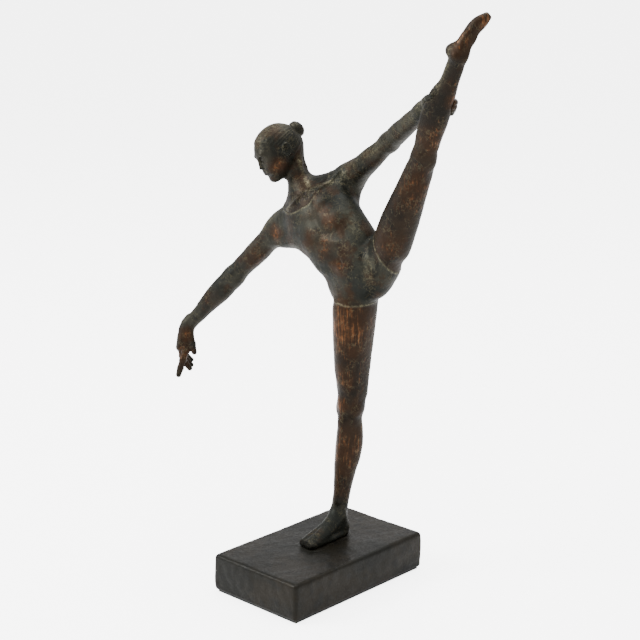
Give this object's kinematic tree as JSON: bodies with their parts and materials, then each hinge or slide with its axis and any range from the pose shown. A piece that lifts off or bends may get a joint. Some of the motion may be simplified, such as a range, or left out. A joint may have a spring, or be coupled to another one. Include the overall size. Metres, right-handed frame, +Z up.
{
  "type": "bronze statuette",
  "caption": "Cast figure of a dancer on one foot holding the other leg up to the side, bolted to a low rectangular plinth with a felt underside.",
  "frame": {"origin": "centre of the felt pad's underside, where the statuette rests", "axes": "+Z up, -Y the way the standing foot points along the plinth's long side, +X towards the raised leg"},
  "size_m": [0.3357, 0.153, 0.4673],
  "materials": {
    "figure_bronze": "cast bronze with a dark green-grey patina, rubbed to copper brown and brushed pale on the ridges",
    "skin_bronze": "cast bronze with a brown patina and copper showing through in lengthwise streaks",
    "plinth_bronze": "cast bronze with a near-black satin patina",
    "sheet_brass": "dull rolled sheet",
    "fixing_steel": "bright zinc-plated steel",
    "felt": "dark green wool felt"
  },
  "bodies": {
    "root": {"plinth": "plinth_bronze", "base_plate": "sheet_brass", "plate_screws": "fixing_steel", "felt_pad": "felt", "standing_leg": "skin_bronze", "heel_stud": "fixing_steel", "toe_stud": "fixing_steel", "stud_washers": "fixing_steel", "stud_nuts": "fixing_steel", "torso": "figure_bronze", "raised_leg": "skin_bronze", "lowered_arm": "figure_bronze", "raised_arm": "figure_bronze", "head": "figure_bronze", "neck_dowel": "fixing_steel", "lowered_shoulder_dowel": "fixing_steel", "raised_shoulder_dowel": "fixing_steel", "raised_hip_dowel": "fixing_steel", "standing_hip_dowel": "fixing_steel", "grip_pin": "fixing_steel"}
  },
  "joints": []
}
